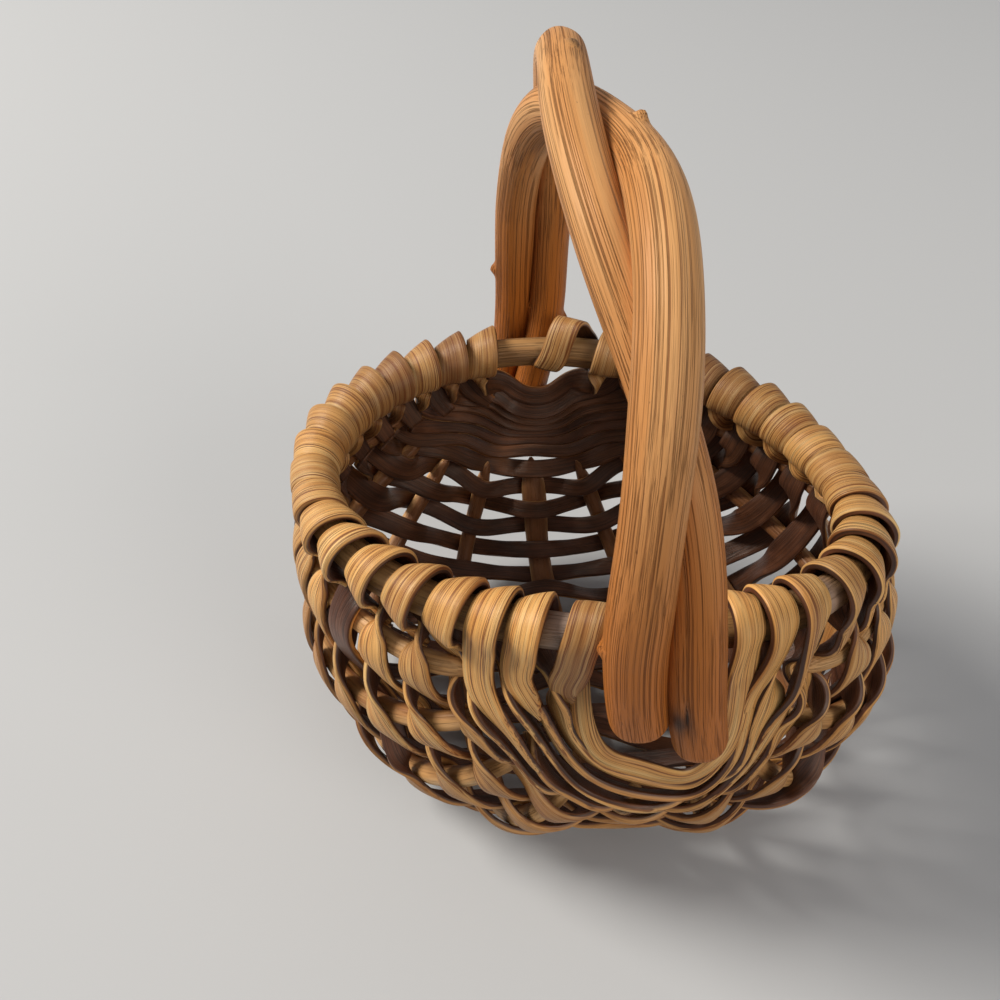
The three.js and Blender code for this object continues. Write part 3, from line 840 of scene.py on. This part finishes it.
# The rows that show bark outside, and from where to where they do, across the girth.
BARK_OUT = {11: (-1.1, -0.42), 19: (-1.1, -0.5), 15: (0.3, 1.1), 9: (0.35, 0.75)}
BARK_FADE = 0.14
BARK_OUT_TILT = 0.3


def bark_out(row, across):
    """1 where a strip shows its bark outside."""
    start, end = BARK_OUT.get(row, (0, 0))
    return smooth((across - start) / BARK_FADE) * smooth((end - across) / BARK_FADE)


def station(row, across, lift, tilt, width, draw=0):
    """A place on a row. Its draw is how much nearer to the front ear it lies than the row does."""
    along = row_along(row, across) - draw
    tilt = mix(tilt, np.pi - BARK_OUT_TILT * tilt, bark_out(row, across))
    point = body_point(along, across) + lift * wall_normal(along, across)
    return point, tilted(row, across, tilt), width


# %% Under the feet the rows lie nested
NEST_END = 0.165
NEST_FADE = 0.05
NEST_LIFTS = [1.7 * mm, 0.6 * mm, 1.0 * mm]
NEST_TILTS = [np.radians(18), np.radians(56), np.radians(60), np.radians(66)]
RIGHT_NEST_TILT = np.radians(24)
RIGHT_NEST_START = 0.25
RIGHT_NEST_FADE = 0.3


def woven(along):
    """0 under the feet, where the rows lie nested outside the ends of the ribs, and 1 elsewhere."""
    return smooth((along - NEST_END) / NEST_FADE) * smooth((1 - NEST_END - along) / NEST_FADE)


def nested(row, across):
    """Lift and tilt: the strip nearest the feet hugs them, and those below stand out like a frill."""
    from_end = min(row, ROWS - 1 - row)
    lift = NEST_LIFTS[min(from_end, len(NEST_LIFTS) - 1)]
    tilt = NEST_TILTS[min(from_end, len(NEST_TILTS) - 1)]
    on_right = smooth((across - RIGHT_NEST_START) / RIGHT_NEST_FADE)
    return lift, mix(tilt, min(tilt, RIGHT_NEST_TILT), on_right)


# %% One row of stations
# Where an even row passes each rib, from the left to the right: 1 outside it and -1 inside.
PATTERN = [-1, 1, -1, 1, -1, 1, -1, 1, -1]
ROWS_OVER_FIRST_RIB = 6
NEAR_RIM = 0.7
LOOSE = 0.2
BESIDE_FEET_TILT = np.radians(50)

# Shares of the way from the hoop to the first rib, lifts in mm, tilts in degrees and widths in mm.
OUTSIDE_GAP = [(0.32, 2.3, 14, 4.6), (0.64, 1.1, 18, 4.6)]
INSIDE_GAP = [(0.32, -1.7, 106, 4.6), (0.64, 0.3, 56, 4.6)]
HIDDEN_GAP = [(0.5, -1.7, 100, 4.6)]


def side_of_rib(row, rib):
    """1 outside the rib and -1 inside. The first strips beside the feet all pass over the first ribs."""
    side = -PATTERN[rib] if row % 2 else PATTERN[rib]
    near_ear = row < ROWS_OVER_FIRST_RIB and rib in (0, len(PATTERN) - 1)
    return -side if near_ear else side


def rib_station(row, across, outside):
    along = row_along(row, across)
    over_first = abs(across) > NEAR_RIM and row < ROWS_OVER_FIRST_RIB
    share = 1 if over_first else woven(along)
    on_rib = outside * (rib_radius(along) + STRIP_THICKNESS / 2 + STRIP_GAP)
    wide = min(RIB_WIDTH, strip_width(across) * RIB_WIDTH / WALL_WIDTH)
    lift, tilt = nested(row, across)
    on_edge = BESIDE_FEET_TILT if over_first and (across > 0) == (row % 2 == 0) else 0
    return station(row, across, mix(lift, on_rib, share), mix(tilt, on_edge, share), wide)


def gap_station(row, across, going_in):
    """A strip going in stays flat, and its neighbour coming out turns on edge, which makes a leaf tip."""
    share = woven(row_along(row, across))
    width = strip_width(across)
    flatness = clamp01((row_pitch(row, across) - TIP_REACH) / (width / 2))
    beside = np.clip(np.arccos(flatness), GOING_IN_TILT, STEEPEST_GOING_IN)
    tilt = mix(BOTTOM_TILT, beside if going_in else COMING_OUT_TILT, on_wall(across))
    lift = GOING_IN_LIFT if going_in else 0
    nest_lift, nest_tilt = nested(row, across)
    lift, tilt = mix(nest_lift, lift, share), mix(nest_tilt, tilt, share)
    return station(row, across, lift, tilt, mix(NEST_WIDTH, width, share))


def laid(plan, row, start, end, draw=0):
    """A plan's stations between two places across the girth, start and end."""
    return [station(row, mix(start, end, share), lift * mm, np.radians(degrees), width * mm, draw)
            for share, lift, degrees, width in plan]


def rim_gap_stations(row, side, first_rib):
    """Between the hoop and the first rib, from the hoop down."""
    if row < ROWS_OVER_FIRST_RIB:
        return laid(HIDDEN_GAP if row % 2 else [], row, side, first_rib)
    return laid(INSIDE_GAP if row % 2 else OUTSIDE_GAP, row, side, first_rib)


def row_stations(row):
    """From the left rim to the right: point, golden direction and width."""
    left = [row_crossing(row, -1, number) for number in range(1, RIBS_PER_SIDE + 1)]
    right = [row_crossing(row, 1, number) for number in range(RIBS_PER_SIDE, 0, -1)]
    crossings = [*left, 0, *right]
    stations = rim_gap_stations(row, -1, crossings[0])
    for rib, across in enumerate(crossings):
        stations.append(rib_station(row, across, side_of_rib(row, rib)))
        if rib + 1 < len(crossings):
            upper = rib if rib < RIBS_PER_SIDE else rib + 1
            between_ribs = (across + crossings[rib + 1]) / 2
            if woven(row_along(row, between_ribs)) > LOOSE:
                stations.append(gap_station(row, between_ribs, side_of_rib(row, upper) > 0))
    return stations + rim_gap_stations(row, 1, crossings[-1])[::-1]


# %% The turn over the hoop
HOOP_GAP = 0.05 * mm
TURN_RADIUS = HOOP_RADIUS + STRIP_THICKNESS / 2 + HOOP_GAP
TURN_TILT = np.radians(22)
TURN_STAND = 1.6 * mm
LEAN_END = 240
LEAN_FADE = 100
rim_lines = {side: rim_line(side) for side in (1, -1)}


def rim_frame(side, along):
    """A point of the hoop's middle line, its direction, and the way out of the basket."""
    step = 0.004
    centre = evenly(rim_lines[side], along) + to_frame
    ends = evenly(rim_lines[side], [along - step, along + step])
    tangent = unit(ends[1] - ends[0])
    outward = unit(np.array([side * tangent[1], -side * tangent[0], 0]))
    return centre, tangent, outward


def rim_turn(side, start, end, degrees, row):
    """Angles run from outward through up to inward. The edge nearer the ear stands off the hoop."""
    stations = []
    for index, degree in enumerate(degrees):
        share = index / (len(degrees) - 1)
        centre, tangent, outward = rim_frame(side, mix(start, end, share))
        angle = np.radians(degree)
        radial = np.cos(angle) * outward + np.sin(angle) * np.array([0, 0, 1])
        lean = TURN_TILT * facing(row) * smooth((LEAN_END - degree) / LEAN_FADE)
        golden = np.cos(lean) * radial + np.sin(lean) * tangent
        stand = TURN_RADIUS + TURN_STAND * abs(np.sin(lean))
        width = mix(FIRST_TURN_WIDTH, TURN_WIDTH, clamp01(row / ROWS_OVER_FIRST_RIB))
        stations.append((centre + stand * radial, golden, width))
    return stations


# %% How a weaver starts and ends
FIRST_STRIP_START = (0.075, -0.46)
FIRST_STRIP_SINK = 1.6 * mm
FIRST_STRIP_WIDTH = 2.6 * mm
TUCKED_LIFT = -1.0 * mm
TUCKED_WIDTH = 2.4 * mm
TURN_DRAW = 0.011
TURN_DRAW_END = 8
TURN_DRAW_FADE = 6

# Tails are planned as the gaps are. Most tuck in behind the first rib, and the first is a short point.
TAIL = [(0.30, 1.9, 10, 4.7), (0.62, -0.4, 0, 4.0), (0.95, -2.4, 0, 2.8)]
SHORT_TAIL = [(0.55, 2.5, 14, 4.4), (0.9, 2.5, 14, 3.2), (1.25, 2.3, 14, 0.6)]

# The long tail's plan has the ribs that it passes, counted from the hoop, in place of shares.
LONG_TAIL_ROW = 4
LONG_TAIL = [(1, 2.3, 14, 4.8), (1.5, 2.3, 26, 4.6), (2, 2.3, 38, 4.0)]
LONG_TAIL += [(2.5, 2.2, 50, 3.4), (3, 2.0, 58, 2.4), (3.5, 1.8, 60, 0.7)]


def left_of_rib(row, number):
    """Where a row crosses a left rib, or, for half numbers, the middle of the gap after it."""
    before, after = (row_crossing(row, -1, part) for part in (int(number), int(number + 0.5)))
    return (before + after) / 2


def from_rib(row, number):
    """A row's stations from the crossing of a left rib to the right rim."""
    target = row_point(row, row_crossing(row, -1, number))
    stations = row_stations(row)
    distances = [np.linalg.norm(point - target) for point, _, _ in stations]
    return stations[int(np.argmin(distances)) :]


def start_of(weaver):
    """The first strip starts behind the ear tie, and the others are tucked behind a rib."""
    row = 2 * weaver
    if weaver == 0:
        outward = wall_normal(*FIRST_STRIP_START)
        hidden = body_point(*FIRST_STRIP_START) - FIRST_STRIP_SINK * outward
        return [(hidden, outward, FIRST_STRIP_WIDTH), *from_rib(row, 4)]
    if row == LONG_TAIL_ROW:
        tucked = station(row, left_of_rib(row, 2.5), TUCKED_LIFT, BOTTOM_TILT, TUCKED_WIDTH)
        return [tucked, *from_rib(row, 3)]
    return [rib_station(row, row_crossing(row, -1, 1), -1), *from_rib(row, 1)[1:]]


def turn_draw(row):
    """The outer ends of the first left turns lie nearer to the front ear than their rows."""
    return TURN_DRAW * (1 - smooth((row - TURN_DRAW_END) / TURN_DRAW_FADE))


def tail_of(weaver):
    """The first strip has a short point, the second a long one, and the others tuck in at the first rib."""
    row = 2 * weaver + 2
    if row >= ROWS:
        return []
    if row == LONG_TAIL_ROW:
        return [station(row, left_of_rib(row, number), lift * mm, np.radians(degrees), width * mm)
                for number, lift, degrees, width in LONG_TAIL]
    plan, draw = (TAIL, turn_draw(row)) if row >= ROWS_OVER_FIRST_RIB else (SHORT_TAIL, 0)
    return laid(plan, row, -1, row_crossing(row, -1, 1), draw)


# %% Make the weavers
OVER = [-22, 15, 55, 95, 135, 175, 215, 245]
OVER_BESIDE_FEET = [2, 35, 70, 105, 140, 175, 215, 245]
TONE_SPREAD = 0.45
FIRST_BROWNER = 12
BROWNER = 0.5


def make_weaver(weaver):
    first, second = 2 * weaver, 2 * weaver + 1
    right_turn = OVER_BESIDE_FEET if first < ROWS_OVER_FIRST_RIB else OVER
    left_end = row_along(second + 1, -1) - turn_draw(second + 1)
    stations = [
        *start_of(weaver),
        *rim_turn(1, row_along(first, 1), row_along(second, 1), right_turn, first),
        *row_stations(second)[::-1],
        *rim_turn(-1, row_along(second, -1), left_end, OVER[::-1], second),
        *tail_of(weaver),
    ]
    tone = random.uniform(0, TONE_SPREAD) + BROWNER * (weaver >= FIRST_BROWNER)
    piece = ribbon(f"strip_{weaver + 1:02d}", stations, tone)
    dress(piece, f"weaver_{weaver + 1:02d}", split_vine)


for weaver in range(WEAVERS):
    make_weaver(weaver)
print("weavers made:", WEAVERS)

# %% [markdown]
# ## Ear ties
# Two short splints are hooked over the hoop beside the feet of the handle, and their tails
# hang down outside. They are strips like the weavers, only browner, so the same helper
# bends them, and just their stations are new.

# %% Make the ties
TIE_WIDTH = 4.8 * mm
TIE_TONE = 0.55
TIE_ANGLES = [210, 180, 150, 120, 90, 60, 30, 0]


def make_tie(node, side, inner, outer, loop, tail):
    """From inner to outer along the rim line, over the hoop, and down the tail.

    The tail lists each drop below the hoop, the place along the rim line and the width.
    """
    up = np.array([0, 0, 1])
    stations = []
    for index, degree in enumerate(TIE_ANGLES):
        centre, _, outward = rim_frame(side, mix(inner, outer, index / (len(TIE_ANGLES) - 1)))
        angle = np.radians(degree)
        rise = TURN_RADIUS + loop * clamp01(np.sin(angle))
        point = centre + outward * TURN_RADIUS * np.cos(angle) + up * rise * np.sin(angle)
        stations.append((point, unit(np.cos(angle) * outward + np.sin(angle) * up), TIE_WIDTH))
    for drop, along, width in tail:
        centre, _, outward = rim_frame(side, along)
        stations.append((centre + outward * TURN_RADIUS - drop * mm * up, outward, width * mm))
    piece = ribbon(f"splint_{node}", stations, TIE_TONE)
    dress(piece, node, split_vine)


FRONT_TAIL = [(4.2, 0.073, 4.8), (7.9, 0.078, 3.9), (10.5, 0.070, 0.8)]
BACK_TAIL = [(2.0, 0.928, 4.5), (3.8, 0.925, 3.8), (5.0, 0.922, 2.4)]
make_tie("front_ear_tie", -1, 0.046, 0.068, 1.0 * mm, FRONT_TAIL)
make_tie("back_ear_tie", 1, 0.990, 0.932, 3.2 * mm, BACK_TAIL)
print("ties made: 2")

# %% [markdown]
# ## Handle
# Two peeled stems twist a little more than once round each other, from the front feet over
# the top to the back feet. Real stems aren't true cylinders: they swell and thin, bud scars
# stand out on them, and their ends are cut and worn round. So every ring has its own radius
# at every angle.

# %% The arch and the twist
STEM_A_DIAMETER = 7.6 * mm
STEM_B_DIAMETER = 7.3 * mm
STEM_TAPER = 0.16
HANDLE_TOP_HEIGHT = 109.6 * mm
HANDLE_TOP_Y = 8 * mm
HANDLE_FRONT_Y = -41.4 * mm
HANDLE_BACK_Y = 42.6 * mm
FRONT_FOOT_HEIGHT = 48.6 * mm
BACK_FOOT_HEIGHT = 41.0 * mm
FOOT_STEP = 4.0 * mm
FRONT_FULLNESS = 2.5
BACK_FULLNESS = 3.1
FOOT_SWAY = 3.0 * mm
FOOT_SWAY_HEIGHT = 24 * mm
TWIST_START = 0.11
TWIST_END = 0.78
TWIST_EASE = 0.3
FOOT_TWIST = -22
BACK_TWIST = 50
BACK_TWIST_START = 0.78
STEM_GAP = -0.3 * mm


def handle_line(share):
    angle = np.pi * clamp01(share)
    back = np.cos(angle) < 0
    fullness = np.where(back, BACK_FULLNESS, FRONT_FULLNESS)
    reach = np.abs(np.cos(angle)) ** (2 / fullness)
    rise = np.maximum(0, np.sin(angle)) ** (2 / fullness)
    foot = np.where(back, BACK_FOOT_HEIGHT, FRONT_FOOT_HEIGHT)
    height = mix(foot, HANDLE_TOP_HEIGHT, rise)
    y = mix(HANDLE_TOP_Y, np.where(back, HANDLE_BACK_Y, HANDLE_FRONT_Y), reach)
    lowness = clamp01(1 - (height - foot) / FOOT_SWAY_HEIGHT) ** 2
    return np.stack([np.where(back, -1, 1) * FOOT_SWAY * lowness, y, height], axis=-1)


def stem_twist(share):
    turn = clamp01((share - TWIST_START) / (TWIST_END - TWIST_START))
    eased = mix(turn, smooth(turn), TWIST_EASE)
    back = smooth((share - BACK_TWIST_START) / (1 - BACK_TWIST_START))
    return np.radians(360 * eased + FOOT_TWIST * clamp01(1 - share / TWIST_START) + BACK_TWIST * back)


# %% Make the stems
STEM_RINGS = 420
STEM_SIDES = 64
END_ROUNDING = 2.2 * mm
END_BLUNTNESS = 0.93
FOOT_COLOR_HEIGHT = 116 * mm
FOOT_COLOR_FADE = 56 * mm
arch_fine = handle_line(np.linspace(0, 1, 4001))
arch_lengths = running_length(arch_fine)


def arch(shares):
    wanted = np.asarray(shares) * arch_lengths[-1]
    return np.stack([np.interp(wanted, arch_lengths, arch_fine[:, axis]) for axis in range(3)], axis=-1)


def stem_centres(sign, own, other, start):
    shares = np.linspace(start, 1, STEM_RINGS)
    centres = arch(shares)
    forward = forwards(centres)
    rightward = np.array([1.0, 0, 0])
    outward = unit(np.cross(rightward, forward))
    spacing = (own + other) / 2 * (1 - STEM_TAPER * shares) + STEM_GAP
    lever = (spacing * other / (own + other))[:, None]
    twist = stem_twist(shares)[:, None]
    across = sign * lever * np.cos(twist) * rightward
    out = sign * lever * np.sin(twist) * outward
    return centres - across + out + to_frame


def make_stem(side, sign, own, other, start, buds):
    centres = stem_centres(sign, own, other, start)
    lengths = running_length(centres)
    shares = lengths / lengths[-1]
    angle = np.linspace(0, 2 * np.pi, STEM_SIDES, endpoint=False)[None, :]
    from_end = np.minimum(lengths, lengths[-1] - lengths)
    ending = np.sqrt(1 - (1 - clamp01(from_end / END_ROUNDING)) ** 2 * END_BLUNTNESS)
    swell = 1 + 0.025 * np.sin(shares * 21 + sign) + 0.015 * np.sin(shares * 47 + 2 * sign)
    radii = (own / 2 * (1 - STEM_TAPER * shares) * swell * ending)[:, None] * np.ones((1, STEM_SIDES))
    ovals = 0.02 * np.cos(2 * angle + 9 * shares[:, None]) + 0.012 * np.cos(5 * angle + 4 * shares[:, None])
    radii = radii * (1 + ovals)
    stain = np.zeros(radii.shape)
    sideways, upward = carried(centres)
    for share, direction, height, length, width, darkness in buds:
        ring = int(np.argmin(np.abs(shares - share)))
        middle = np.arctan2(np.dot(upward[ring], direction), np.dot(sideways[ring], direction))
        away = np.angle(np.exp(1j * (angle - middle))) * own / 2
        beyond = (shares - share)[:, None] * lengths[-1]
        near = np.exp(-((beyond / (length * mm)) ** 2) - (away / (width * mm)) ** 2)
        radii = radii + height * mm * near
        stain = np.maximum(stain, darkness * near)
    foot = smooth((FOOT_COLOR_HEIGHT - centres[:, 2]) / FOOT_COLOR_FADE)[:, None]
    piece = rod(f"peeled_stem_{side}", centres, radii, 0.5, extra={"stain": stain, "foot": foot})
    dress(piece, f"handle_stem_{side}", peeled_stem)


# Each bud's share of the stem, the way it looks, its height, length and width in mm, and its darkness.
# A height of 0 is only a stain, and one below 0 is a crack.
LEFT_BUDS = [
    (0.09, (-0.98, 0.16, 0.0), 0.7, 1.0, 0.9, 0.0),
    (0.47, (0.3, 0.5, 0.8), 0.9, 0.9, 0.9, 0.1),
    (0.845, (-0.98, 0.16, 0.0), 0.9, 1.0, 0.9, 0.2),
]
RIGHT_BUDS = [
    (0.05, (-0.68, -0.4, 0.6), 0.0, 2.4, 1.7, 0.9),
    (0.055, (-0.50, -0.5, 0.7), -0.5, 2.6, 0.4, 0.95),
    (0.53, (0.3, -0.2, 0.93), 0.6, 0.9, 0.9, 0.8),
    (0.89, (-0.98, 0.16, 0.0), 0.9, 1.0, 0.9, 0.2),
    (0.9, (0.98, -0.16, 0.0), 0.9, 1.0, 0.9, 0.2),
]
foot_share = FOOT_STEP / arch_lengths[-1]
make_stem("left", 1, STEM_A_DIAMETER, STEM_B_DIAMETER, foot_share, LEFT_BUDS)
make_stem("right", -1, STEM_B_DIAMETER, STEM_A_DIAMETER, 0, RIGHT_BUDS)
print("length of the handle's arch in mm:", round(arch_lengths[-1] / mm, 1))

# %% [markdown]
# ## Floor, light and camera
# The basket stands on a plain pale floor. One large soft lamp stands high on the left, as a
# window does, with a weak one at the front right. The camera repeats the photograph's place
# and angle, which were worked out from the perspective of the rim and of the handle.

# %% The floor and the world
LOOKING_RAYS = ("Is Camera Ray", "Is Glossy Ray", "Is Transmission Ray")
WORLD_STRENGTH = 0.32


def backdrop_finish():
    """Pale to the camera and in reflections, and only grey for the light that it gives back."""
    material, shader, start = new_finish("pale_floor")
    rays = [start.node("ShaderNodeLightPath", {}, {}, ray) for ray in LOOKING_RAYS]
    looked_at = start.maths("MAXIMUM", start.maths("MAXIMUM", rays[0], rays[1]), rays[2])
    connect(shader, Base_Color=blended(start, looked_at, seen(140, 142, 145), seen(196, 200, 206)))
    connect(shader, Roughness=0.9)
    return material


bpy.ops.mesh.primitive_plane_add(size=6)
floor = bpy.context.object
floor.name = "floor"
floor.data.materials.append(backdrop_finish())

world = bpy.data.worlds.new("soft_room")
world.use_nodes = True
background = world.node_tree.nodes["Background"]
background.inputs["Color"].default_value = seen(236, 235, 234)
background.inputs["Strength"].default_value = WORLD_STRENGTH
bpy.context.scene.world = world


# %% The lamps
def area_lamp(name, place, target, size, power, color):
    data = bpy.data.lights.new(name, "AREA")
    data.shape = "DISK"
    data.size = size
    data.energy = power
    data.color = color[:3]
    lamp = bpy.data.objects.new(name, data)
    lamp.location = place
    lamp.rotation_euler = (Vector(target) - Vector(place)).to_track_quat("-Z", "Y").to_euler()
    bpy.context.scene.collection.objects.link(lamp)
    print(name, "gives", power, "W from", place)


area_lamp("window", (-0.95, 0.36, 1.02), (0, 0, 0.05), 0.60, 20.0, seen(255, 247, 234))
area_lamp("room_fill", (0.60, -0.80, 0.55), (0, 0, 0.04), 0.70, 3.6, seen(255, 244, 230))

# %% The camera
CAMERA_HEIGHT = 160 * mm
CAMERA_PITCH = np.radians(44.5)
CAMERA_ROLL = np.radians(-0.57)
BASKET_BEFORE_CAMERA = np.array([12.4, 109.2, 0]) * mm
BASKET_TURN = np.radians(9.0)
LENS_TO_SENSOR = 0.99

down = np.array([0, -np.sin(CAMERA_PITCH), -np.cos(CAMERA_PITCH)])
sight = np.array([0, np.cos(CAMERA_PITCH), -np.sin(CAMERA_PITCH)])
level = np.array([1.0, 0, 0])
right = np.cos(CAMERA_ROLL) * level - np.sin(CAMERA_ROLL) * down
upward = -(np.sin(CAMERA_ROLL) * level + np.cos(CAMERA_ROLL) * down)
turn_back = np.array(Matrix.Rotation(-BASKET_TURN, 3, "Z"))
place = turn_back @ (np.array([0, 0, CAMERA_HEIGHT]) - BASKET_BEFORE_CAMERA) + to_frame
axes = turn_back @ np.stack([right, upward, -sight], axis=1)

camera_data = bpy.data.cameras.new("camera")
camera_data.sensor_width = 36
camera_data.lens = LENS_TO_SENSOR * camera_data.sensor_width
camera_data.clip_start = 0.01
camera = bpy.data.objects.new("camera", camera_data)
camera.matrix_world = Matrix.Translation(place) @ Matrix(axes.tolist()).to_4x4()
bpy.context.scene.collection.objects.link(camera)
bpy.context.scene.camera = camera
bpy.context.scene.view_settings.view_transform = "Standard"
print("camera at", np.round(place / mm, 1), "mm")
